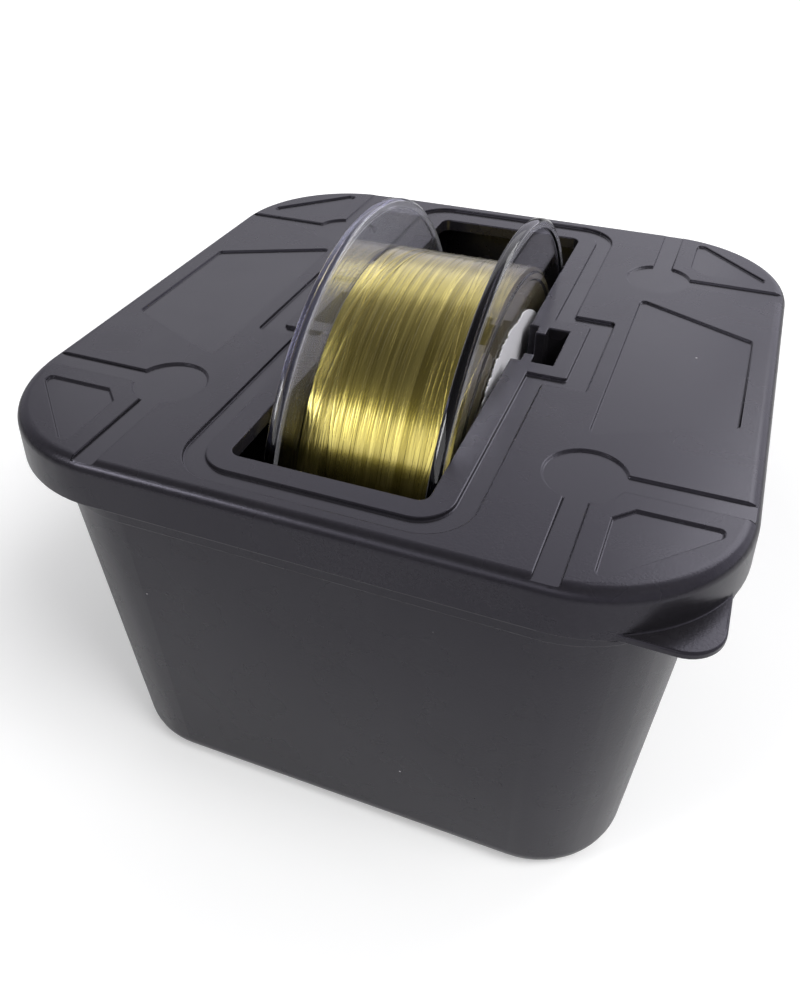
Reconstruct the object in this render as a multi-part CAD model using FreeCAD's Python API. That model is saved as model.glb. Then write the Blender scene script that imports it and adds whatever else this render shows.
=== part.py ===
import FreeCAD, Part
import math
import os

# Spooling tub for fishing line: a square tapered bucket, a lid with a slot, and a bulk spool of line
# that turns on a spindle hung in two T pockets of the lid. Millimetres, +Z up, x along the spindle,
# front at -Y, origin at the middle of the bucket's base.

# Bucket
BASE_HALF = 82.4
BASE_CORNER_R = 28.0
BASE_EDGE_R = 9.0
FOOT_RING_WIDTH = 9.0
FOOT_RECESS = 1.0
FLOOR_THICK = 2.6
WALL = 2.2
WALL_TOP_HALF = 88.2
BAND_STEP = 0.7
BAND_FLARE = 0.6
BAND_DROP = 23.0
RIM_THICK = 2.4
RIM_LIP_DEPTH = 8.2
RIM_LIP_THICK = 2.0

# Lid
LID_TOP_Z = 130.0
LID_HALF = 96.0
LID_CORNER_R = 40.0
LID_PLATE = 4.0
SKIRT_DEPTH = 12.6
SKIRT_WALL = 2.2
SKIRT_FLARE = 0.8
LID_EDGE_R = 3.4
LID_RIM_CLEARANCE = 0.4

# Slot in the lid, its raised rim and the recess round the rim
SLOT_HALF_Y = 78.7
SLOT_SIDE_CLEARANCE = 1.7
SLOT_CORNER_R = 2.8
SLOT_RIM_X = 6.3
SLOT_RIM_Y = 6.4
SLOT_RIM_CORNER_R = 9.0
RECESS_X = 5.2
RECESS_Y = 4.5
RECESS_CORNER_R = 12.5
RECESS_DEPTH = 0.95
BUMP_RIM = 5.1
BUMP_RIM_SIDE = 5.8
BUMP_RECESS_X = 6.3
BUMP_RECESS_SIDE = 4.5
BUMP_CORNER_R = 1.2

# Embossed marks of the lid, one set per corner and one panel per side
EMBOSS_DEPTH = 0.65
KEYHOLE_AT = 56.0
KEYHOLE_R = 10.0
ARM_WIDTH = 6.0
TRIANGLE_NEAR = 64.7
TRIANGLE_CHAMFER = 4.5
TRIANGLE_FAR = 88.0
TRIANGLE_TIP = 2.5
TRIANGLE_CORNER_R = 1.1
TRIANGLE_INNER_R = 0.3
PANEL_INNER = 53.2
PANEL_OUTER = 87.4
PANEL_INNER_HALF = 39.2
PANEL_OUTER_HALF = 23.5
PANEL_CORNER_R = 1.5

# Pull tab at the front right corner of the skirt
TAB_INSET = 3.2
TAB_CORNER_R = 9.0
TAB_THICK = 2.0
TAB_EDGE_R = 0.6

# T pockets under the lid
POCKET_WALL = 2.2
POCKET_FLOOR = 2.2
LIP_GAP = 12.4
LIP_THICK = 3.0

# Spool
FLANGE_R = 75.0
SPOOL_WIDTH = 47.0
FLANGE_RIM_WIDTH = 3.1
FLANGE_RIM_DEPTH = 2.6
FLANGE_RIM_CHAMFER = 0.7
FLANGE_DISC = 2.2
FLANGE_RING_R = 57.5
FLANGE_RING_WIDTH = 2.2
FLANGE_RING_RISE = 0.5
SPOOL_BORE_R = 12.5
HUB_R = 36.0
HUB_WALL = 2.2
SPIGOT_LENGTH = 5.0
SPIGOT_WALL = 2.0
LABEL_R = 48.5
LABEL_HOLE_R = 16.0
LABEL_THICK = 0.25

# Line on the spool: a plain core under one layer of turns
LINE_R = 61.4
LINE_TUBE_D = 1.05
LINE_SIDES = 4
LINE_TURNS_MOST = 24
LINE_GAP = 0.43
LINE_BEND = 1.3
PACK_CLEARANCE = 0.1

# Spindle
AXLE_DROP = 44.2
ROD_R = 4.0
COLLAR_R = 9.0
COLLAR_THICK = 3.4
RUNNING_CLEARANCE = 0.05
CONE_SMALL_R = 8.0
CONE_LENGTH = 14.0
CONE_OVERHANG = 0.8
CONE_SEAT_GAP = 0.15
CONE_WALL = 2.0
CONE_POCKET = 8.0
WASHER_R = 8.5
WASHER_THICK = 0.8
WASHER_CLEARANCE = 0.2
NUT_R = 9.0
NUT_GROOVE_R = 1.2
NUT_GROOVES = 12
BLOCK_THICK = 5.4
BLOCK_HALF_Y = 10.0
BLOCK_HALF_Z = 10.0
BLOCK_CLEARANCE = 0.4
BLOCK_CHAMFER = 1.5
ROD_SOCKET = 3.6

# Places worked out from the sizes above
AXLE_Z = LID_TOP_Z - AXLE_DROP
LID_UNDER_Z = LID_TOP_Z - LID_PLATE
SKIRT_Z = LID_TOP_Z - SKIRT_DEPTH
LID_TOP_HALF = LID_HALF - SKIRT_FLARE
CORNER_CENTRE = LID_HALF - LID_CORNER_R
RIM_HALF = LID_TOP_HALF - SKIRT_WALL - LID_RIM_CLEARANCE
BAND_Z = LID_TOP_Z - BAND_DROP
FLANGE_OUT = SPOOL_WIDTH / 2
FLANGE_IN = FLANGE_OUT - FLANGE_RIM_WIDTH
FLANGE_FACE = FLANGE_IN + FLANGE_DISC
CONE_FACE = FLANGE_FACE + CONE_OVERHANG
WASHER_FACE = CONE_FACE + WASHER_THICK
COLLAR_FACE = WASHER_FACE + COLLAR_THICK
SLOT_HALF_X = FLANGE_OUT + SLOT_SIDE_CLEARANCE
LIP_IN = COLLAR_FACE + BLOCK_CLEARANCE
LIP_OUT = LIP_IN + LIP_THICK
BLOCK_IN = LIP_OUT + BLOCK_CLEARANCE
BLOCK_OUT = BLOCK_IN + BLOCK_THICK
POCKET_X = BLOCK_OUT + BLOCK_CLEARANCE
POCKET_HALF_Y = BLOCK_HALF_Y + BLOCK_CLEARANCE
POCKET_FLOOR_Z = AXLE_Z - BLOCK_HALF_Z

X_AXIS = FreeCAD.Vector(1, 0, 0)
Z_AXIS = FreeCAD.Vector(0, 0, 1)
AXLE = FreeCAD.Vector(0, 0, AXLE_Z)
PAST = 5.0
FULL_TURN = 360.0


def vec(x, y, z):
    return FreeCAD.Vector(x, y, z)


def rounded_wire(points, radii):
    """Closed wire through the points, each corner rounded by its own radius."""
    edges = []
    ends = []
    count = len(points)
    for i in range(count):
        corner = points[i]
        to_last = (points[i - 1] - corner).normalize()
        to_next = (points[(i + 1) % count] - corner).normalize()
        half_angle = to_last.getAngle(to_next) / 2
        reach = radii[i] / math.tan(half_angle)
        bisector = (to_last + to_next).normalize()
        to_arc = radii[i] / math.sin(half_angle) - radii[i]
        ends.append((corner + to_last * reach, corner + bisector * to_arc, corner + to_next * reach))
    for i in range(count):
        start, middle, stop = ends[i]
        following = ends[(i + 1) % count][0]
        if radii[i] > 0:
            edges.append(Part.Arc(start, middle, stop).toShape())
        if (following - stop).Length > 1e-6:
            edges.append(Part.LineSegment(stop, following).toShape())
    return Part.Wire(edges)


def rectangle(half_x, half_y, radius, z):
    corners = [
        vec(-half_x, -half_y, z),
        vec(half_x, -half_y, z),
        vec(half_x, half_y, z),
        vec(-half_x, half_y, z),
    ]
    return rounded_wire(corners, [radius] * len(corners))


def square(half, radius, z):
    return rectangle(half, half, radius, z)


def prism(wire, height):
    return Part.Face(wire).extrude(Z_AXIS * height)


def tapered(low_half, high_half, low_z, high_z, centre):
    """Square solid with leaning flat sides and a cone at each corner, its axis at the centre given."""
    outline = [(-low_half, low_z), (low_half, low_z), (high_half, high_z), (-high_half, high_z)]
    points = [vec(-centre, y, z) for y, z in outline]
    along_x = Part.Face(Part.makePolygon(points + points[:1])).extrude(X_AXIS * 2 * centre)
    along_y = along_x.copy()
    along_y.rotate(vec(0, 0, 0), Z_AXIS, FULL_TURN / 4)
    corners = []
    for side_x in (-1, 1):
        for side_y in (-1, 1):
            foot = vec(side_x * centre, side_y * centre, low_z)
            corners.append(upright(low_half - centre, high_half - centre, high_z - low_z, foot))
    return along_x.multiFuse([along_y] + corners).removeSplitter()


def upright(low_r, high_r, height, foot):
    """Upright cone, or a cylinder where both ends are the same."""
    if low_r == high_r:
        return Part.makeCylinder(low_r, height, foot)
    return Part.makeCone(low_r, high_r, height, foot)


def box(low, high):
    """Box between two opposite corners."""
    return Part.makeBox(high[0] - low[0], high[1] - low[1], high[2] - low[2], vec(*low))


def turned(profile):
    """Solid turned about the spindle from (x, radius) points."""
    points = [vec(x, 0, AXLE_Z + r) for x, r in profile]
    return Part.Face(Part.makePolygon(points + points[:1])).revolve(AXLE, X_AXIS, FULL_TURN)


def mirrored(shape):
    """The same piece on the other side of the tub."""
    return shape.mirror(vec(0, 0, 0), X_AXIS)


def edges_at(shape, z):
    """Edges that lie wholly at one height."""
    level = 1e-4
    return [e for e in shape.Edges if abs(e.BoundBox.ZMin - z) < level and abs(e.BoundBox.ZMax - z) < level]


def wall_half(z):
    """Half width of the bucket's outer wall at a height."""
    return BASE_HALF + (WALL_TOP_HALF - BASE_HALF) * z / BAND_Z


def make_bucket():
    rim_top = LID_UNDER_Z
    rim_low = rim_top - RIM_THICK
    wall_centre = BASE_HALF - BASE_CORNER_R
    body = tapered(BASE_HALF, WALL_TOP_HALF, 0, BAND_Z, wall_centre)
    body = body.makeFillet(BASE_EDGE_R, edges_at(body, 0))
    band_half = WALL_TOP_HALF + BAND_STEP
    band = tapered(band_half, band_half + BAND_FLARE, BAND_Z, rim_low, wall_centre)
    rim = prism(square(RIM_HALF, RIM_HALF - CORNER_CENTRE, rim_low), RIM_THICK)
    lip_half = RIM_HALF - RIM_LIP_THICK
    lip_low = rim_top - RIM_LIP_DEPTH
    lip = prism(square(RIM_HALF, RIM_HALF - CORNER_CENTRE, lip_low), RIM_LIP_DEPTH)
    lip = lip.cut(prism(square(lip_half, lip_half - CORNER_CENTRE, lip_low), RIM_LIP_DEPTH))
    inside_low = wall_half(FLOOR_THICK) - WALL
    inside = tapered(inside_low, wall_half(rim_top) - WALL, FLOOR_THICK, rim_top, wall_centre)
    inside = inside.makeFillet(BASE_EDGE_R - WALL, edges_at(inside, FLOOR_THICK))
    foot_half = BASE_HALF - BASE_EDGE_R - FOOT_RING_WIDTH
    foot = prism(square(foot_half, BASE_CORNER_R - BASE_EDGE_R, 0), FOOT_RECESS)
    return body.multiFuse([band, rim, lip]).cut(inside).cut(foot).removeSplitter()


def slot_recess():
    """Sunk ground round the slot, with the slot's raised rim left standing in it."""
    rim_x = SLOT_HALF_X + SLOT_RIM_X
    rim_y = SLOT_HALF_Y + SLOT_RIM_Y
    rim_bump_x = POCKET_X + BUMP_RIM
    rim_bump_y = POCKET_HALF_Y + BUMP_RIM_SIDE
    floor = LID_TOP_Z - RECESS_DEPTH
    ground = prism(rectangle(rim_x + RECESS_X, rim_y + RECESS_Y, RECESS_CORNER_R, floor), RECESS_DEPTH)
    bump_ground = rectangle(rim_bump_x + BUMP_RECESS_X, rim_bump_y + BUMP_RECESS_SIDE, BUMP_CORNER_R, floor)
    rim = prism(rectangle(rim_x, rim_y, SLOT_RIM_CORNER_R, floor), RECESS_DEPTH)
    bump_rim = prism(rectangle(rim_bump_x, rim_bump_y, BUMP_CORNER_R, floor), RECESS_DEPTH)
    return ground.fuse(prism(bump_ground, RECESS_DEPTH)).cut(rim.fuse(bump_rim))


def corner_mark(side_x, side_y):
    """Keyhole disc with its two arms and the triangle outside them, for one corner."""
    floor = LID_TOP_Z - EMBOSS_DEPTH
    half_arm = ARM_WIDTH / 2
    low = KEYHOLE_AT - half_arm
    high = KEYHOLE_AT + half_arm
    past = LID_HALF + PAST
    disc = Part.makeCylinder(KEYHOLE_R, EMBOSS_DEPTH, vec(KEYHOLE_AT, KEYHOLE_AT, floor))
    arm_x = box((KEYHOLE_AT, low, floor), (past, high, LID_TOP_Z))
    arm_y = box((low, KEYHOLE_AT, floor), (high, past, LID_TOP_Z))
    near = TRIANGLE_NEAR
    inner = TRIANGLE_NEAR + TRIANGLE_CHAMFER
    tip = TRIANGLE_NEAR + TRIANGLE_TIP
    outline = [
        vec(near, inner, floor),
        vec(inner, near, floor),
        vec(TRIANGLE_FAR, near, floor),
        vec(TRIANGLE_FAR, tip, floor),
        vec(tip, TRIANGLE_FAR, floor),
        vec(near, TRIANGLE_FAR, floor),
    ]
    radii = [TRIANGLE_INNER_R] * 2 + [TRIANGLE_CORNER_R] * 4
    triangle = prism(rounded_wire(outline, radii), EMBOSS_DEPTH)
    mark = disc.multiFuse([arm_x, arm_y, triangle])
    if side_x < 0:
        mark = mark.mirror(vec(0, 0, 0), X_AXIS)
    if side_y < 0:
        mark = mark.mirror(vec(0, 0, 0), vec(0, 1, 0))
    return mark


def side_panel():
    """Bare sunk panel beside the slot."""
    floor = LID_TOP_Z - EMBOSS_DEPTH
    outline = [
        vec(PANEL_INNER, -PANEL_INNER_HALF, floor),
        vec(PANEL_OUTER, -PANEL_OUTER_HALF, floor),
        vec(PANEL_OUTER, PANEL_OUTER_HALF, floor),
        vec(PANEL_INNER, PANEL_INNER_HALF, floor),
    ]
    return prism(rounded_wire(outline, [PANEL_CORNER_R] * 4), EMBOSS_DEPTH)


def pocket_leg():
    """Outer form of one T pocket below the lid's plate."""
    low_z = POCKET_FLOOR_Z - POCKET_FLOOR
    half_y = POCKET_HALF_Y + POCKET_WALL
    return box((SLOT_HALF_X, -half_y, low_z), (POCKET_X + POCKET_WALL, half_y, LID_UNDER_Z))


def pocket_hollow():
    """Hollow of one T pocket: wide behind the lips, narrow between them, wide again at the slot."""
    top = LID_TOP_Z + PAST
    gap = LIP_GAP / 2
    behind = box((LIP_OUT, -POCKET_HALF_Y, POCKET_FLOOR_Z), (POCKET_X, POCKET_HALF_Y, top))
    neck = box((LIP_IN, -gap, POCKET_FLOOR_Z), (LIP_OUT, gap, top))
    mouth = box((SLOT_HALF_X - PAST, -POCKET_HALF_Y, POCKET_FLOOR_Z), (LIP_IN, POCKET_HALF_Y, top))
    return behind.multiFuse([neck, mouth])


def pull_tab():
    """Flat tab that fills the corner outside the skirt's round."""
    half = LID_HALF - TAB_INSET
    plate = prism(square(half, TAB_CORNER_R, SKIRT_Z), TAB_THICK)
    plate = plate.makeFillet(TAB_EDGE_R, edges_at(plate, SKIRT_Z) + edges_at(plate, SKIRT_Z + TAB_THICK))
    corner = box((CORNER_CENTRE, -LID_HALF, SKIRT_Z), (LID_HALF, -CORNER_CENTRE, SKIRT_Z + TAB_THICK))
    inner_r = LID_CORNER_R - SKIRT_WALL
    core = Part.makeCylinder(inner_r, TAB_THICK, vec(CORNER_CENTRE, -CORNER_CENTRE, SKIRT_Z))
    return plate.common(corner).cut(core)


def make_lid():
    shell = tapered(LID_HALF, LID_TOP_HALF, SKIRT_Z, LID_TOP_Z, CORNER_CENTRE)
    shell = shell.makeFillet(LID_EDGE_R, edges_at(shell, LID_TOP_Z))
    inside = tapered(LID_HALF - SKIRT_WALL, LID_TOP_HALF - SKIRT_WALL, SKIRT_Z, LID_UNDER_Z, CORNER_CENTRE)
    lid = shell.cut(inside).fuse(pull_tab())
    leg = pocket_leg()
    lid = lid.multiFuse([leg, mirrored(leg)])
    slot_wire = rectangle(SLOT_HALF_X, SLOT_HALF_Y, SLOT_CORNER_R, LID_UNDER_Z - PAST)
    slot = prism(slot_wire, LID_PLATE + 2 * PAST)
    hollow = pocket_hollow()
    panel = side_panel()
    cuts = [slot, hollow, mirrored(hollow), slot_recess(), panel, mirrored(panel)]
    cuts += [corner_mark(side_x, side_y) for side_x in (-1, 1) for side_y in (-1, 1)]
    for cut in cuts:
        lid = lid.cut(cut)
    return lid.removeSplitter()


def make_flange():
    """Right flange: disc with a thick rim, a raised ring and the spigot that centres the hub."""
    rim_in = FLANGE_R - FLANGE_RIM_DEPTH
    ring_out = FLANGE_RING_R + FLANGE_RING_WIDTH
    ring_top = FLANGE_FACE + FLANGE_RING_RISE
    spigot_r = HUB_R - HUB_WALL - PACK_CLEARANCE
    spigot_in = spigot_r - SPIGOT_WALL
    spigot_end = FLANGE_IN - SPIGOT_LENGTH
    profile = [
        (FLANGE_FACE, SPOOL_BORE_R),
        (FLANGE_FACE, FLANGE_RING_R),
        (ring_top, FLANGE_RING_R),
        (ring_top, ring_out),
        (FLANGE_FACE, ring_out),
        (FLANGE_FACE, rim_in),
        (FLANGE_OUT, rim_in),
        (FLANGE_OUT, FLANGE_R - FLANGE_RIM_CHAMFER),
        (FLANGE_OUT - FLANGE_RIM_CHAMFER, FLANGE_R),
        (FLANGE_IN + FLANGE_RIM_CHAMFER, FLANGE_R),
        (FLANGE_IN, FLANGE_R - FLANGE_RIM_CHAMFER),
        (FLANGE_IN, spigot_r),
        (spigot_end, spigot_r),
        (spigot_end, spigot_in),
        (FLANGE_IN, spigot_in),
        (FLANGE_IN, SPOOL_BORE_R),
    ]
    return turned(profile)


def tube(out_r, in_r, from_x, to_x):
    return turned([(from_x, in_r), (to_x, in_r), (to_x, out_r), (from_x, out_r)])


def make_cone():
    """Right centring cone, open towards the middle of the spool round its own sleeve."""
    bore = ROD_R + RUNNING_CLEARANCE
    seat_r = SPOOL_BORE_R - CONE_SEAT_GAP
    small_x = CONE_FACE - CONE_LENGTH
    slope = (seat_r - CONE_SMALL_R) / (FLANGE_FACE - small_x)
    pocket_end = small_x + CONE_POCKET
    sleeve_r = bore + CONE_WALL
    pocket_small = CONE_SMALL_R - CONE_WALL / 2
    pocket_big = pocket_small + slope * CONE_POCKET
    profile = [
        (small_x, bore),
        (CONE_FACE, bore),
        (CONE_FACE, seat_r + slope * CONE_OVERHANG),
        (small_x, CONE_SMALL_R),
        (small_x, pocket_small),
        (pocket_end, pocket_big),
        (pocket_end, sleeve_r),
        (small_x, sleeve_r),
    ]
    return turned(profile)


def make_spindle():
    """Rod with the collar that stops the left cone."""
    end = BLOCK_IN + ROD_SOCKET
    profile = [
        (-end, 0),
        (end, 0),
        (end, ROD_R),
        (-WASHER_FACE, ROD_R),
        (-WASHER_FACE, COLLAR_R),
        (-COLLAR_FACE, COLLAR_R),
        (-COLLAR_FACE, ROD_R),
        (-end, ROD_R),
    ]
    return turned(profile)


def make_nut():
    """Ring nut with finger grooves round its edge."""
    nut = tube(NUT_R, ROD_R + RUNNING_CLEARANCE, WASHER_FACE, COLLAR_FACE)
    for i in range(NUT_GROOVES):
        turn = 2 * math.pi * i / NUT_GROOVES
        at = vec(WASHER_FACE, NUT_R * math.cos(turn), AXLE_Z + NUT_R * math.sin(turn))
        nut = nut.cut(Part.makeCylinder(NUT_GROOVE_R, COLLAR_THICK, at, X_AXIS))
    return nut


def make_end_block():
    """Block that drops into the right T pocket and holds the rod's end."""
    low = AXLE_Z - BLOCK_HALF_Z
    high = AXLE_Z + BLOCK_HALF_Z
    block = box((BLOCK_IN, -BLOCK_HALF_Y, low), (BLOCK_OUT, BLOCK_HALF_Y, high))
    block = block.makeChamfer(BLOCK_CHAMFER, edges_at(block, low))
    socket = Part.makeCylinder(ROD_R + RUNNING_CLEARANCE, ROD_SOCKET, AXLE + X_AXIS * BLOCK_IN, X_AXIS)
    return block.cut(socket)


def biarc(start, start_dir, stop, stop_dir):
    """Two tangent arcs from one point and direction to another."""
    span = stop - start
    both = start_dir + stop_dir
    turn = 2 * (1 - start_dir.dot(stop_dir))
    along = span.dot(both)
    reach = (math.sqrt(along * along + turn * span.dot(span)) - along) / turn
    first = start + start_dir * reach
    second = stop - stop_dir * reach
    middle = (first + second) * 0.5
    return [tangent_arc(start, first, middle), tangent_arc(middle, second, stop)]


def tangent_arc(start, corner, stop):
    """Arc from start to stop whose end tangents meet at the corner."""
    chord_middle = (start + stop) * 0.5
    cosine = (stop - start).Length / 2 / (corner - start).Length
    crown = chord_middle + (corner - chord_middle) * (cosine / (1 + cosine))
    return Part.Arc(start, crown, stop).toShape()


def make_line_layer():
    """Outer layer of turns as one tube: square out of one flange, round the core, into the other."""
    radius = LINE_R - LINE_TUBE_D / 2
    half_span = FLANGE_IN - LINE_TUBE_D - LINE_BEND
    turns = min(LINE_TURNS_MOST, int(2 * half_span / (LINE_TUBE_D + LINE_GAP)))
    pitch = 2 * half_span / turns

    def place(angle):
        x = -half_span + pitch * angle / (2 * math.pi)
        return vec(x, radius * math.sin(angle), AXLE_Z + radius * math.cos(angle))

    def heading(angle):
        climb = pitch / (2 * math.pi)
        return vec(climb, radius * math.cos(angle), -radius * math.sin(angle)).normalize()

    last = 2 * math.pi * turns
    edges = lead(place(0), heading(0) * -1, X_AXIS * -1)
    for i in range(2 * turns):
        a = math.pi * i
        b = math.pi * (i + 1)
        edges += biarc(place(a), heading(a), place(b), heading(b))
    edges += lead(place(last), heading(last), X_AXIS)
    path = Part.Wire(Part.__sortEdges__(edges))
    start = place(0) - heading(0) * LINE_BEND
    section = tube_section(vec(-FLANGE_IN, start.y, start.z))
    layer = path.makePipeShell([section], True, False)
    print("line layer: turns", turns, "least gap to itself", round(pitch_gap(place, turns), 3), "mm")
    ratio = layer.Volume / (Part.Face(section).Area * path.Length)
    print("line layer: volume over section times length", round(ratio, 4))
    return layer


def tube_section(at):
    """Many-sided section of the line at its end on the left flange."""
    points = []
    for i in range(LINE_SIDES + 1):
        turn = 2 * math.pi * i / LINE_SIDES
        points.append(at + vec(0, math.cos(turn), math.sin(turn)) * (LINE_TUBE_D / 2))
    return Part.makePolygon(points)


def lead(at, away, square_dir):
    """Bend from a turn's end to the flange's normal, then one tube diameter straight to the flange."""
    corner = at + away * LINE_BEND
    bend_end = corner + square_dir * LINE_BEND
    stop = vec(math.copysign(FLANGE_IN, corner.x), corner.y, corner.z)
    return [tangent_arc(at, corner, bend_end), Part.LineSegment(bend_end, stop).toShape()]


def pitch_gap(place, turns):
    """Least distance between turns, on points along the layer, less the tube's diameter."""
    per_turn = 24
    points = [place(2 * math.pi * i / per_turn) for i in range(turns * per_turn + 1)]
    least = FLANGE_R
    for i, point in enumerate(points):
        for other in points[i + per_turn // 2:i + 2 * per_turn]:
            least = min(least, (point - other).Length)
    return least - LINE_TUBE_D


def make_pieces():
    flange = make_flange()
    cone = make_cone()
    block = make_end_block()
    washer = tube(WASHER_R, ROD_R + WASHER_CLEARANCE, CONE_FACE, WASHER_FACE)
    core_r = LINE_R - LINE_TUBE_D - PACK_CLEARANCE
    return {
        "bucket": make_bucket(),
        "lid": make_lid(),
        "spool_flange_left": mirrored(flange),
        "spool_flange_right": flange,
        "spool_hub": tube(HUB_R, HUB_R - HUB_WALL, -FLANGE_IN, FLANGE_IN),
        "line_pack": tube(core_r, HUB_R + PACK_CLEARANCE, -FLANGE_IN, FLANGE_IN),
        "line_outer_layer": make_line_layer(),
        "spool_label": tube(LABEL_R, LABEL_HOLE_R, FLANGE_FACE, FLANGE_FACE + LABEL_THICK),
        "spindle": make_spindle(),
        "end_block_left": mirrored(block),
        "end_block_right": block,
        "cone_left": mirrored(cone),
        "cone_right": cone,
        "friction_washer_left": mirrored(washer),
        "friction_washer_right": washer,
        "tension_nut": make_nut(),
    }


def main():
    os.makedirs("parts", exist_ok=True)
    for name, shape in make_pieces().items():
        solids = shape.Solids
        print(name, "solids", len(solids), "valid", shape.isValid(), "volume", round(shape.Volume, 1))
        (solids[0] if len(solids) == 1 else shape).exportStep("parts/" + name + ".step")


main()
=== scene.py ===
import math
import random

import bpy
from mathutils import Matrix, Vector, noise


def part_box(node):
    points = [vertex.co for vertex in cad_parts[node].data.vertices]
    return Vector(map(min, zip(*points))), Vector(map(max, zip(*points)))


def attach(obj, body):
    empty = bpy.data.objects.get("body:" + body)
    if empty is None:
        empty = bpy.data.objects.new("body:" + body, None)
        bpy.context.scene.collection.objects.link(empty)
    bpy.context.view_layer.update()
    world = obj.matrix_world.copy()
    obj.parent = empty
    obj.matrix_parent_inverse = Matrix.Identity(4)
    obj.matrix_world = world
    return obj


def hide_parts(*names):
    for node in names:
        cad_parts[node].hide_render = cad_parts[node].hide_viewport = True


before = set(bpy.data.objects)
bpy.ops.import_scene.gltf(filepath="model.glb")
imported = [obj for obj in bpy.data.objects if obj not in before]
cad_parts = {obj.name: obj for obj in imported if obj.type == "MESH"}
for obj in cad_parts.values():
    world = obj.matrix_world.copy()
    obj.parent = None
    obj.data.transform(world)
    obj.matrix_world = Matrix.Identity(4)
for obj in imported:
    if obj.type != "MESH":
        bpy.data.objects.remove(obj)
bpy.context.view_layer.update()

# Line spooling tub: finishes for the moulded tub and lid, the clear spool, its wound line and its label.
# Metres, in the frame of the solids: +Z up, x along the spindle, front at -Y.

MM = 0.001
FULL_TURN = 2 * math.pi

# Camera: where it stands, which way it looks and its lens
CAMERA_AT = Vector((74.8, -221.8, 252.9)) * MM
CAMERA_FORWARD = Vector((-0.2831, 0.7239, -0.6291))
CAMERA_LENS = 31.58
CAMERA_SENSOR = 36.0

# Places and sizes read from the solids
PACK_LOW, PACK_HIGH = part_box("line_pack")
LAYER_LOW, LAYER_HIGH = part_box("line_outer_layer")
HUB_LOW, HUB_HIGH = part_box("spool_hub")
LABEL_LOW, LABEL_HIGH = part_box("spool_label")
AXLE_Z = (LAYER_LOW.z + LAYER_HIGH.z) / 2
LINE_R = (LAYER_HIGH.y - LAYER_LOW.y) / 2
LINE_HALF_WIDTH = (PACK_HIGH.x - PACK_LOW.x) / 2
HUB_R = (HUB_HIGH.y - HUB_LOW.y) / 2
LABEL_R = (LABEL_HIGH.y - LABEL_LOW.y) / 2

# Moulded lid: its top, the least and most depth of its sunk floors, and how level a floor is
LID_TOP = 130.0 * MM
SUNK_FLOORS = (0.5 * MM, 2.6 * MM)
LEVEL_FLOOR = 0.97

# Rounds that the moulds leave on sharp edges
LID_ROUND = 0.35 * MM
TUB_ROUND = 0.4 * MM
FLANGE_ROUND = 0.3 * MM
SMALL_ROUND = 0.25 * MM
ROUND_STEPS = 2
SHARP_ANGLE = math.radians(50)
FLAT_ANGLE = math.radians(0.5)
WELD_REACH = 0.001 * MM

# Finish of the moulded plastics: noise scales are in waves to the metre
TUB_TONES = ((0.011, 0.010, 0.012), (0.017, 0.016, 0.018))
BLACK_TONES = ((0.020, 0.020, 0.022), (0.028, 0.028, 0.031))
ACETAL_TONES = ((0.60, 0.59, 0.55), (0.66, 0.65, 0.61))
TUB_ROUGHNESS = 0.27
BLACK_ROUGHNESS = 0.40
ACETAL_ROUGHNESS = 0.38
ROUGHNESS_SPREAD = 0.05
FLOOR_POLISH = 0.04
PLASTIC_TINT = (0.84, 0.81, 1.0, 1.0)
CLOUD_SCALE = 28.0
MOTTLE_SCALE = 900.0
SHEEN_SCALE = 60.0
GRAIN_SCALE = 1500.0
GRAIN_DEPTH = 0.05 * MM
GRAIN_STRENGTH = 0.5
FLOOR_GRAIN_STRENGTH = 0.25
SINK_SCALE = 16.0
SINK_DEPTH = 0.6 * MM
SPECK_SCALE = 95.0
SPECK_EDGE = (0.022, 0.034)
SPECK_RARITY = 0.91
SPECK_COLOUR = (0.42, 0.41, 0.42)

# Clear flanges
FLANGE_LOW, FLANGE_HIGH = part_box("spool_flange_left")
FLANGE_R = (FLANGE_HIGH.y - FLANGE_LOW.y) / 2
FLANGE_RIM_DEPTH = 2.6 * MM
HAZE_HEIGHTS = (122.0 * MM, 152.0 * MM)
LEFT_HAZE = 0.10
RIGHT_HAZE = 0.0
CLEAR_COLOUR = (0.93, 0.93, 0.98)
# Painted shade on the rims' outer edges, darker on the right flange than on the left
LEFT_RIM_PAINTED_SHADE = (0.30, 0.30, 0.44)
RIGHT_RIM_PAINTED_SHADE = (0.18, 0.18, 0.28)
RIM_SIDE_CLEARNESS = 0.85
MARKS_SCALE = 140.0
MARKS_ROUGHNESS = 0.05

# Wound line, pressed a little flat
STRAND_WIDTH = 1.15 * MM
STRAND_HEIGHT = 0.06 * MM
STRAND_PITCH = 0.72 * MM
STRAND_SIDES = 8
STEPS_PER_TURN = 144
LAYER_DROP = 0.30 * MM
CROSS_RISE = 0.07 * MM
CROSS_PASSES = 6
CROSS_PITCH = (14.0 * MM, 60.0 * MM)
SIDE_GAP = 0.15 * MM
SWAY = 0.12 * MM
LIFT = 0.05 * MM
LIFT_SPAN = 18.0 * MM
BUNDLE_WIDTH = 2.4 * MM
STRAND_REACH = LINE_HALF_WIDTH - STRAND_WIDTH / 2
CORE_DROP = 0.46 * MM
CORE_LAYERS = 44
CORE_STEPS = 128
HUB_GAP = 0.15 * MM
LAYER_END_SPREAD = 0.25
LAYER_VALLEY = 0.28 * MM
LINE_TONES = ((0.28, 0.225, 0.025), (0.56, 0.47, 0.11))
LAYER_END_TONES = ((0.25, 0.21, 0.10), (0.42, 0.37, 0.22))
TONE_ENDS = (0.1, 0.9)

# Paper label, torn along part of its edge
LABEL_HOLE_R = 16.0 * MM
LABEL_STEPS = 720
TORN_FROM = math.radians(-14)
TORN_TO = math.radians(46)
TORN_DEPTH = 1.9 * MM
DEEPEST_TEAR = 1.3
PAPER_TONES = ((0.84, 0.83, 0.87), (0.90, 0.89, 0.93))

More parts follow.
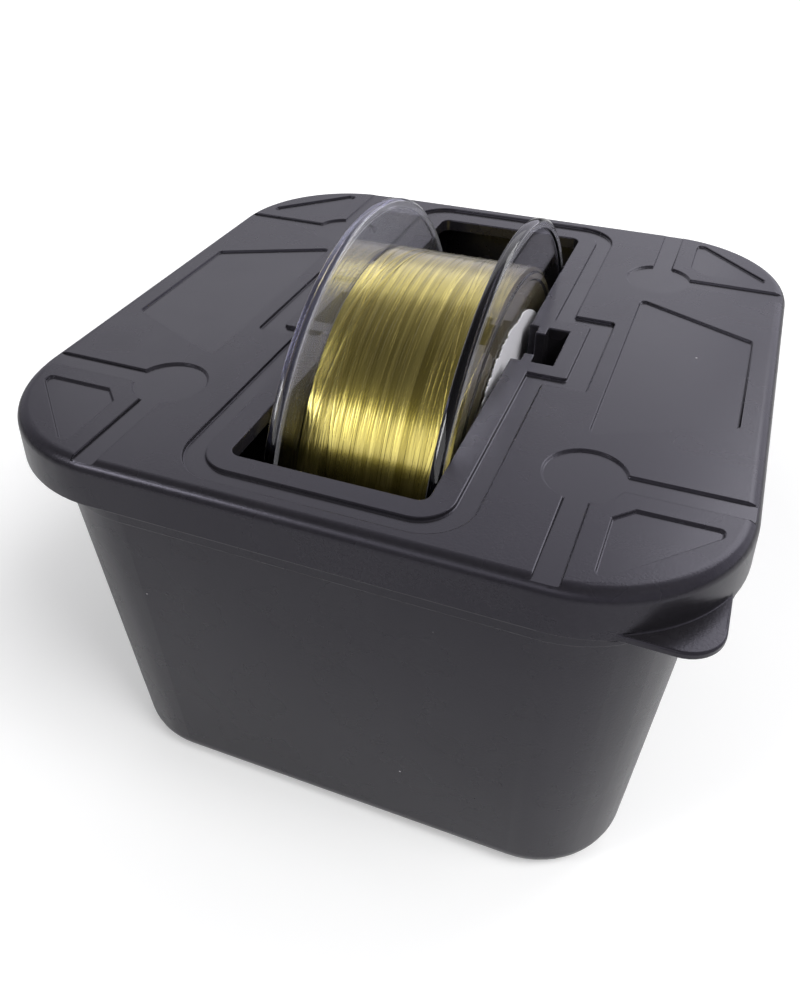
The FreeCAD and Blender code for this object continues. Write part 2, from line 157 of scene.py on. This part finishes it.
# Floor, studio and lamps
FLOOR_HALF = 8.0
FLOOR_COLOUR = (0.80, 0.80, 0.80, 1.0)
GLOW_MIDDLE = (0.0, 0.06, 0.0)
GLOW_LEVELS = (0.28, 0.95)
GLOW_REACH = (0.14, 0.60)
STUDIO_TINT = (0.95, 0.93, 1.06)
WHITE = (1.0, 1.0, 1.0)
SOFT_LIGHT_SHARE = 0.2
LAMP_TARGET = (0, 0, 0.11)
LABEL_LAMP_TARGET = (0, 0, 0.12)


def link(obj):
    bpy.context.scene.collection.objects.link(obj)
    return obj


def mesh_object(name, points, faces, smooth=True):
    mesh = bpy.data.meshes.new(name)
    mesh.from_pydata(points, [], faces)
    mesh.polygons.foreach_set("use_smooth", [smooth] * len(mesh.polygons))
    mesh.update()
    return link(bpy.data.objects.new(name, mesh))


def around_axle(x, radius, angle):
    """Point at a radius from the spindle, the angle measured from the top towards the front."""
    return Vector((x, -radius * math.sin(angle), AXLE_Z + radius * math.cos(angle)))


# Materials


class Graph:
    """Short way to add and join shader nodes."""

    def __init__(self, tree):
        self.tree = tree
        self.shader = tree.nodes.get("Principled BSDF")

    def add(self, kind, **values):
        node = self.tree.nodes.new("ShaderNode" + kind)
        for key, value in values.items():
            if key in node.inputs:
                node.inputs[key].default_value = value
            else:
                setattr(node, key, value)
        return node

    def join(self, source, target):
        self.tree.links.new(source, target)

    def feed(self, source, name):
        """Join a value to an input of the main shader."""
        self.join(source, self.shader.inputs[name])

    def set(self, **values):
        for key, value in values.items():
            self.shader.inputs[key.replace("_", " ")].default_value = value

    def coordinates(self, output="Object"):
        return self.add("TexCoord").outputs[output]

    def part_of(self, vector, axis):
        node = self.add("SeparateXYZ")
        self.join(vector, node.inputs[0])
        return node.outputs[axis]

    def noise(self, scale, detail=2.0):
        node = self.add("TexNoise", Scale=scale, Detail=detail)
        self.join(self.coordinates(), node.inputs["Vector"])
        return node.outputs["Fac"]

    def math(self, operation, *values):
        node = self.add("Math", operation=operation)
        for socket, value in zip(node.inputs, values):
            if isinstance(value, (int, float)):
                socket.default_value = value
            else:
                self.join(value, socket)
        return node.outputs[0]

    def spread(self, source, low, high, start=0.0, end=1.0):
        """A value from start to end, spread between low and high."""
        node = self.add("MapRange")
        for key, value in (("From Min", start), ("From Max", end), ("To Min", low), ("To Max", high)):
            node.inputs[key].default_value = value
        self.join(source, node.inputs["Value"])
        return node.outputs["Result"]

    def ramp(self, source, stops):
        node = self.add("ValToRGB")
        stops = list(stops)
        elements = node.color_ramp.elements
        while len(elements) < len(stops):
            elements.new(0.5)
        for element, (place, colour) in zip(elements, stops):
            element.position = place
            element.color = (*colour, 1.0)
        self.join(source, node.inputs["Fac"])
        return node.outputs["Color"]

    def mix(self, factor, first, second):
        """Blend of two colours, each a socket or a plain colour."""
        node = self.add("Mix", data_type="RGBA")
        self.join(factor, node.inputs["Factor"])
        for socket, colour in ((node.inputs[6], first), (node.inputs[7], second)):
            if isinstance(colour, tuple):
                socket.default_value = (*colour, 1.0)
            else:
                self.join(colour, socket)
        return node.outputs[2]

    def bump(self, height, strength, distance, normal=None):
        node = self.add("Bump", Distance=distance)
        if isinstance(strength, (int, float)):
            node.inputs["Strength"].default_value = strength
        else:
            self.join(strength, node.inputs["Strength"])
        self.join(height, node.inputs["Height"])
        if normal:
            self.join(normal, node.inputs["Normal"])
        return node.outputs["Normal"]

    def seen_by(self, *kinds):
        """1 for rays of the named kinds, else 0."""
        path = self.add("LightPath")
        total = path.outputs["Is %s Ray" % kinds[0]]
        for kind in kinds[1:]:
            total = self.math("MAXIMUM", total, path.outputs["Is %s Ray" % kind])
        return total


def new_material(name):
    material = bpy.data.materials.new(name)
    material.use_nodes = True
    return material, Graph(material.node_tree)


def pale_specks(g):
    """A few small round specks, 1 inside and 0 elsewhere."""
    cells = g.add("TexVoronoi", Scale=SPECK_SCALE)
    g.join(g.coordinates(), cells.inputs["Vector"])
    dot = g.spread(cells.outputs["Distance"], 1.0, 0.0, *SPECK_EDGE)
    pick = g.math("GREATER_THAN", g.part_of(cells.outputs["Color"], "X"), SPECK_RARITY)
    return g.math("MULTIPLY", dot, pick)


def sunk_floor(g):
    """1 on the sunk floors of the lid's top, else 0."""
    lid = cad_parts["lid"]
    top = (lid.matrix_world.inverted() @ Vector((0, 0, LID_TOP))).z
    middle = top - sum(SUNK_FLOORS) / 2
    reach = (SUNK_FLOORS[1] - SUNK_FLOORS[0]) / 2
    level = g.math("COMPARE", g.part_of(g.coordinates(), "Z"), middle, reach)
    facing_up = g.math("GREATER_THAN", g.part_of(g.coordinates("Normal"), "Z"), LEVEL_FLOOR)
    return g.math("MULTIPLY", level, facing_up)


def moulded_plastic(name, tones, roughness, smooth_floors_painted_sheen=False):
    """Matte moulding: cloudy tone, fine grain, faint sink marks and a few pale specks. Floors sunk into
    the lid can be smoother than the rest, and then take the light tone as a painted sheen."""
    material, g = new_material(name)
    dark, light = tones
    broad = g.math("MULTIPLY", g.noise(CLOUD_SCALE, 3.0), 0.6)
    fine = g.math("MULTIPLY", g.noise(MOTTLE_SCALE, 2.0), 0.4)
    cloud = g.math("ADD", broad, fine)
    tone = g.ramp(cloud, [(0.35, dark), (0.65, light)])
    rough = g.spread(g.noise(SHEEN_SCALE, 4.0), roughness - ROUGHNESS_SPREAD, roughness + ROUGHNESS_SPREAD)
    grain_strength = GRAIN_STRENGTH
    if smooth_floors_painted_sheen:
        floor = sunk_floor(g)
        # Sunk floors painted in the light tone: a painted sheen, beside their real smoother finish.
        tone = g.mix(floor, tone, light)
        rough = g.math("SUBTRACT", rough, g.math("MULTIPLY", floor, FLOOR_POLISH))
        grain_strength = g.spread(floor, GRAIN_STRENGTH, FLOOR_GRAIN_STRENGTH)
    g.feed(g.mix(pale_specks(g), tone, SPECK_COLOUR), "Base Color")
    g.feed(rough, "Roughness")
    g.set(Specular_IOR_Level=0.44, Specular_Tint=PLASTIC_TINT)
    wave = g.bump(g.noise(SINK_SCALE, 1.0), 0.12, SINK_DEPTH)
    g.feed(g.bump(g.noise(GRAIN_SCALE, 2.0), grain_strength, GRAIN_DEPTH, wave), "Normal")
    return material


def flange_rim(g, node):
    """Two masks for a flange: the rim's outer edge, painted in shade, and the rim's flat sides."""
    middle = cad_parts[node].matrix_world.inverted() @ Vector((0, 0, AXLE_Z))
    offset = g.add("VectorMath", operation="SUBTRACT")
    g.join(g.coordinates(), offset.inputs[0])
    offset.inputs[1].default_value = middle
    radial = g.add("VectorMath", operation="MULTIPLY")
    g.join(offset.outputs[0], radial.inputs[0])
    radial.inputs[1].default_value = (0, 1, 1)
    radius = g.add("VectorMath", operation="LENGTH")
    g.join(radial.outputs[0], radius.inputs[0])
    rim = g.math("GREATER_THAN", radius.outputs["Value"], FLANGE_R - FLANGE_RIM_DEPTH)
    flat = g.math("GREATER_THAN", g.math("ABSOLUTE", g.part_of(g.coordinates("Normal"), "X")), 0.6)
    return g.math("MULTIPLY", rim, g.math("SUBTRACT", 1.0, flat)), g.math("MULTIPLY", rim, flat)


def clear_plastic(name, node, haze, rim_painted_shade):
    """Polished clear styrene with faint handling marks and a haze of dust towards its top. The rim is
    darker looked at edge on, a painted shade, and paler on its flat sides."""
    material, g = new_material(name)
    edge, side = flange_rim(g, node)
    # The rim's outer edge takes its painted shade colour.
    g.feed(g.mix(edge, CLEAR_COLOUR, rim_painted_shade), "Base Color")
    to_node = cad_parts[node].matrix_world.inverted()
    low, high = [(to_node @ Vector((0, 0, height))).z for height in HAZE_HEIGHTS]
    dust = g.spread(g.part_of(g.coordinates(), "Z"), 0.0, haze, low, high)
    g.feed(g.math("SUBTRACT", g.spread(side, 1.0, RIM_SIDE_CLEARNESS), dust), "Transmission Weight")
    g.feed(g.spread(g.noise(MARKS_SCALE, 2.0), 0.0, MARKS_ROUGHNESS), "Roughness")
    g.set(IOR=1.5)
    return material


def line_material(name):
    """Golden monofilament: bundles differ in tone; crossing strands are painted lighter, a painted
    highlight.
    """
    material, g = new_material(name)
    tone = g.add("Attribute", attribute_name="tone").outputs["Fac"]
    g.feed(g.ramp(tone, zip(TONE_ENDS, LINE_TONES)), "Base Color")
    g.set(Roughness=0.23, IOR=1.53, Metallic=1.0, Coat_Weight=1.0, Coat_Roughness=0.16)
    return material


def line_side(name):
    """Ends of the layers, seen at the sides of the winding: dull and milky."""
    material, g = new_material(name)
    tone = g.add("Attribute", attribute_name="tone").outputs["Fac"]
    g.feed(g.ramp(tone, zip(TONE_ENDS, LAYER_END_TONES)), "Base Color")
    g.set(Roughness=0.5, IOR=1.53)
    return material


def paper(name):
    """Coated label paper."""
    material, g = new_material(name)
    g.feed(g.ramp(g.noise(90.0, 4.0), zip((0.3, 0.7), PAPER_TONES)), "Base Color")
    g.set(Roughness=0.55)
    g.feed(g.bump(g.noise(900.0, 3.0), 0.15, 0.05 * MM), "Normal")
    return material


# Finish of the solids that stay


def soften(node, width):
    """Small round on a node's sharp edges, as a mould leaves them."""
    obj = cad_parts[node]
    weld = obj.modifiers.new("weld", "WELD")
    weld.merge_threshold = WELD_REACH
    flat = obj.modifiers.new("flat", "DECIMATE")
    flat.decimate_type = "DISSOLVE"
    flat.angle_limit = FLAT_ANGLE
    bevel = obj.modifiers.new("round", "BEVEL")
    bevel.width = width
    bevel.segments = ROUND_STEPS
    bevel.limit_method = "ANGLE"
    bevel.angle_limit = SHARP_ANGLE
    bevel.use_clamp_overlap = False
    shade = obj.modifiers.new("shade", "WEIGHTED_NORMAL")
    shade.keep_sharp = True


def finish_nodes(material, names):
    for name in names:
        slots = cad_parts[name].data.materials
        slots.clear()
        slots.append(material)


def dress_solids():
    tub = moulded_plastic("tub_plastic", TUB_TONES, TUB_ROUGHNESS, smooth_floors_painted_sheen=True)
    black = moulded_plastic("black_plastic", BLACK_TONES, BLACK_ROUGHNESS)
    acetal = moulded_plastic("acetal", ACETAL_TONES, ACETAL_ROUGHNESS)
    # One clear finish per flange, differing in dust and in the painted shade of the rim.
    clear_left = clear_plastic("clear_styrene_left", "spool_flange_left", LEFT_HAZE, LEFT_RIM_PAINTED_SHADE)
    clear_right = clear_plastic("clear_styrene_right", "spool_flange_right", RIGHT_HAZE, RIGHT_RIM_PAINTED_SHADE)
    finish_nodes(tub, ["bucket", "lid"])
    finish_nodes(black, ["spindle", "end_block_left", "end_block_right", "tension_nut"])
    finish_nodes(black, ["cone_left", "cone_right"])
    finish_nodes(acetal, ["friction_washer_left", "friction_washer_right"])
    finish_nodes(clear_left, ["spool_flange_left", "spool_hub"])
    finish_nodes(clear_right, ["spool_flange_right"])
    soften("lid", LID_ROUND)
    soften("bucket", TUB_ROUND)
    for name in ("spool_flange_left", "spool_flange_right"):
        soften(name, FLANGE_ROUND)
    for name in ("spindle", "end_block_left", "end_block_right", "tension_nut", "cone_left", "cone_right"):
        soften(name, SMALL_ROUND)


# Line on the spool


def winding_route():
    """Angle, place along the spindle and layer of the line, step by step: one close layer, then passes
    to and fro that cross it."""
    draw = random.Random(11)
    route = []
    angle = 0.0
    x = -STRAND_REACH
    heading = 1
    pitches = [STRAND_PITCH] + [draw.uniform(*CROSS_PITCH) for _ in range(CROSS_PASSES)]
    for layer, pitch in enumerate(pitches):
        while abs(x) <= STRAND_REACH:
            route.append((angle, x, layer))
            angle += FULL_TURN / STEPS_PER_TURN
            x += heading * pitch / STEPS_PER_TURN
        x = math.copysign(STRAND_REACH, x)
        heading = -heading
    return route


def strand_wander(angle, x):
    """Shares, about -1 to 1, of sideways sway, of lift and of tone at a place on the line. Lift and tone
    are partly the strand's own and partly those of the bundle it lies in."""
    along = angle * LINE_R / LIFT_SPAN
    round_x = math.cos(angle) * LINE_R / LIFT_SPAN
    round_y = math.sin(angle) * LINE_R / LIFT_SPAN
    bundle = x / BUNDLE_WIDTH
    sway = noise.noise(Vector((along * 0.1, 3.1, 0.4)))
    own_lift = noise.noise(Vector((along, 5.3, 0.7)))
    lift = own_lift + noise.noise(Vector((bundle, round_x * 0.6, round_y * 0.6)))
    own_tone = noise.noise(Vector((bundle * 3.4, along * 0.04, 7.7)))
    tone = own_tone + 0.7 * noise.noise(Vector((bundle, 1.5, 2.5)))
    return sway, lift, tone


def tube_faces(rings, sides):
    """Faces of a closed tube whose points run ring by ring."""
    faces = []
    for ring in range(rings - 1):
        low = ring * sides
        high = low + sides
        for side in range(sides):
            other = (side + 1) % sides
            faces.append((low + side, low + other, high + other, high + side))
    faces.append(tuple(reversed(range(sides))))
    faces.append(tuple(range((rings - 1) * sides, rings * sides)))
    return faces


def set_tone(obj, tones):
    attribute = obj.data.attributes.new("tone", "FLOAT", "POINT")
    attribute.data.foreach_set("value", [min(1.0, max(0.0, tone)) for tone in tones])


def stand_for(obj, node):
    """The piece turns with the spool, in place of a node."""
    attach(obj, "spool")
    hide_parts(node)


def wind_line(material):
    """The outer turns as one unbroken tube."""
    points = []
    tones = []
    route = winding_route()
    for angle, x, layer in route:
        sway, lift, tone = strand_wander(angle, x)
        radius = LINE_R - LAYER_DROP + (CROSS_RISE if layer else 0.0) + lift * LIFT
        place = max(-STRAND_REACH, min(STRAND_REACH, x + sway * SWAY))
        # Crossing strands are painted a lighter tone, a painted highlight; the rest of the tone differs at
        # random.
        tone = 0.5 + 0.55 * tone + (0.2 if layer else 0.0)
        for side in range(STRAND_SIDES):
            a = FULL_TURN * side / STRAND_SIDES
            across = place + math.sin(a) * STRAND_WIDTH / 2
            points.append(around_axle(across, radius + math.cos(a) * STRAND_HEIGHT / 2, angle))
            tones.append(tone)
    obj = mesh_object("line_turns", points, tube_faces(len(route), STRAND_SIDES))
    set_tone(obj, tones)
    obj.data.materials.append(material)
    stand_for(obj, "line_outer_layer")


def lathe(name, profile_at, steps, material, smooth=True):
    """Closed ring about the spindle: profile_at gives the (x, radius) points at an angle."""
    points = []
    for step in range(steps):
        angle = FULL_TURN * step / steps
        points += [around_axle(x, r, angle) for x, r in profile_at(angle)]
    count = len(points) // steps
    faces = []
    for step in range(steps):
        low = step * count
        high = (step + 1) % steps * count
        for i in range(count):
            j = (i + 1) % count
            faces.append((low + i, low + j, high + j, high + i))
    obj = mesh_object(name, points, faces, smooth)
    obj.data.materials.append(material)
    return obj


def wind_core(material):
    """Line under the outer turns, with the ends of its layers showing at both sides."""
    out_r = LINE_R - CORE_DROP
    in_r = HUB_R + HUB_GAP
    face = LINE_HALF_WIDTH - SIDE_GAP
    rise = (out_r - in_r) / CORE_LAYERS
    draw = random.Random(5)
    side = []
    for layer in range(CORE_LAYERS + 1):
        side.append((face - draw.uniform(0.0, LAYER_END_SPREAD) * MM, in_r + rise * layer))
        if layer < CORE_LAYERS:
            side.append((face - LAYER_VALLEY, in_r + rise * (layer + 0.5)))
    profile = side + [(-x, r) for x, r in reversed(side)]
    obj = lathe("line_core", lambda angle: profile, CORE_STEPS, material)
    set_tone(obj, [0.35 + 0.25 * noise.noise(point.co * 900) for point in obj.data.vertices])
    stand_for(obj, "line_pack")


def torn_depth(angle):
    """How far the label's edge is torn away at an angle from the top."""
    angle = (angle + math.pi) % FULL_TURN - math.pi
    if not TORN_FROM < angle < TORN_TO:
        return 0.0
    window = min(1.0, (angle - TORN_FROM) / 0.06, (TORN_TO - angle) / 0.12)
    bites = 0.5 + 0.6 * noise.noise(Vector((angle * 20, 0.3, 0.6)))
    fibres = 0.6 * noise.noise(Vector((angle * 60, 4.4, 0.9)))
    ends = 0.35 * noise.noise(Vector((angle * 170, 8.1, 0.2)))
    return TORN_DEPTH * window * min(DEEPEST_TEAR, max(0.0, bites + fibres + ends))


def cut_label(material):
    def profile_at(angle):
        edge = LABEL_R - torn_depth(angle)
        inner, outer = LABEL_LOW.x, LABEL_HIGH.x
        return [(inner, LABEL_HOLE_R), (outer, LABEL_HOLE_R), (outer, edge), (inner, edge)]

    obj = lathe("label_sheet", profile_at, LABEL_STEPS, material, smooth=False)
    stand_for(obj, "spool_label")


# Stage


def make_floor():
    half = FLOOR_HALF
    corners = [(-half, -half, 0), (half, -half, 0), (half, half, 0), (-half, half, 0)]
    floor = mesh_object("floor", corners, [(0, 1, 2, 3)])
    material, g = new_material("floor")
    g.set(Base_Color=FLOOR_COLOUR, Roughness=0.9, Specular_IOR_Level=0.0)
    away = g.add("VectorMath", operation="DISTANCE")
    g.join(g.coordinates(), away.inputs[0])
    away.inputs[1].default_value = GLOW_MIDDLE
    level = g.spread(away.outputs["Value"], *GLOW_LEVELS, *GLOW_REACH)
    glow = g.add("Emission")
    g.join(g.math("MULTIPLY", level, g.seen_by("Camera")), glow.inputs["Strength"])
    total = g.add("AddShader")
    g.join(g.shader.outputs[0], total.inputs[0])
    g.join(glow.outputs[0], total.inputs[1])
    g.join(total.outputs[0], g.tree.nodes["Material Output"].inputs["Surface"])
    floor.data.materials.append(material)


def make_world():
    """White to the eye; in reflections a pale studio with a dark ceiling and a dim front."""
    world = bpy.data.worlds.new("studio")
    bpy.context.scene.world = world
    world.use_nodes = True
    g = Graph(world.node_tree)
    direction = g.coordinates("Generated")
    ceiling = g.spread(g.part_of(direction, "Z"), 1.0, 0.50, 0.50, 0.85)
    front = g.spread(g.part_of(direction, "Y"), 0.42, 1.0, 0.0, 0.5)
    right = g.spread(g.part_of(direction, "X"), 0.6, 1.2, -0.5, 0.3)
    seen = g.seen_by("Camera")
    studio = g.math("MULTIPLY", g.math("MULTIPLY", ceiling, front), right)
    lit = g.math("MULTIPLY", studio, g.spread(g.seen_by("Glossy", "Transmission"), SOFT_LIGHT_SHARE, 1.0))
    background = g.tree.nodes["Background"]
    g.join(g.math("MAXIMUM", seen, lit), background.inputs["Strength"])
    g.join(g.mix(seen, STUDIO_TINT, WHITE), background.inputs["Color"])


def make_lamp(name, at, target, size, power, shines=True):
    data = bpy.data.lights.new(name, "AREA")
    data.shape = "RECTANGLE"
    data.size, data.size_y = size
    data.energy = power
    lamp = link(bpy.data.objects.new(name, data))
    lamp.location = at
    lamp.rotation_euler = (Vector(target) - Vector(at)).to_track_quat("-Z", "Y").to_euler()
    lamp.visible_glossy = shines


def make_camera():
    data = bpy.data.cameras.new("camera")
    data.lens = CAMERA_LENS
    data.sensor_width = CAMERA_SENSOR
    data.clip_start = 0.01
    camera = link(bpy.data.objects.new("camera", data))
    camera.location = CAMERA_AT
    camera.rotation_euler = CAMERA_FORWARD.to_track_quat("-Z", "Y").to_euler()
    bpy.context.scene.camera = camera


def main():
    make_camera()
    make_world()
    make_floor()
    make_lamp("back_soft", (-0.40, 0.95, 0.90), LAMP_TARGET, (1.2, 0.7), 1.7)
    make_lamp("back_high", (0.45, 0.80, 0.92), LAMP_TARGET, (0.7, 0.45), 3.4)
    make_lamp("front_soft", (-0.27, -0.63, 0.56), LAMP_TARGET, (1.0, 0.30), 1.35)
    make_lamp("front_key", (-0.53, -0.62, 0.66), LAMP_TARGET, (0.20, 0.26), 1.5)
    make_lamp("side_soft", (0.60, -0.25, 0.95), LABEL_LAMP_TARGET, (0.5, 0.5), 8.8, shines=False)
    dress_solids()
    line = line_material("golden_line")
    wind_line(line)
    wind_core(line_side("line_ends"))
    cut_label(paper("label_paper"))
    bpy.context.scene.view_settings.view_transform = "Standard"
    bpy.context.scene.cycles.caustics_reflective = False


main()
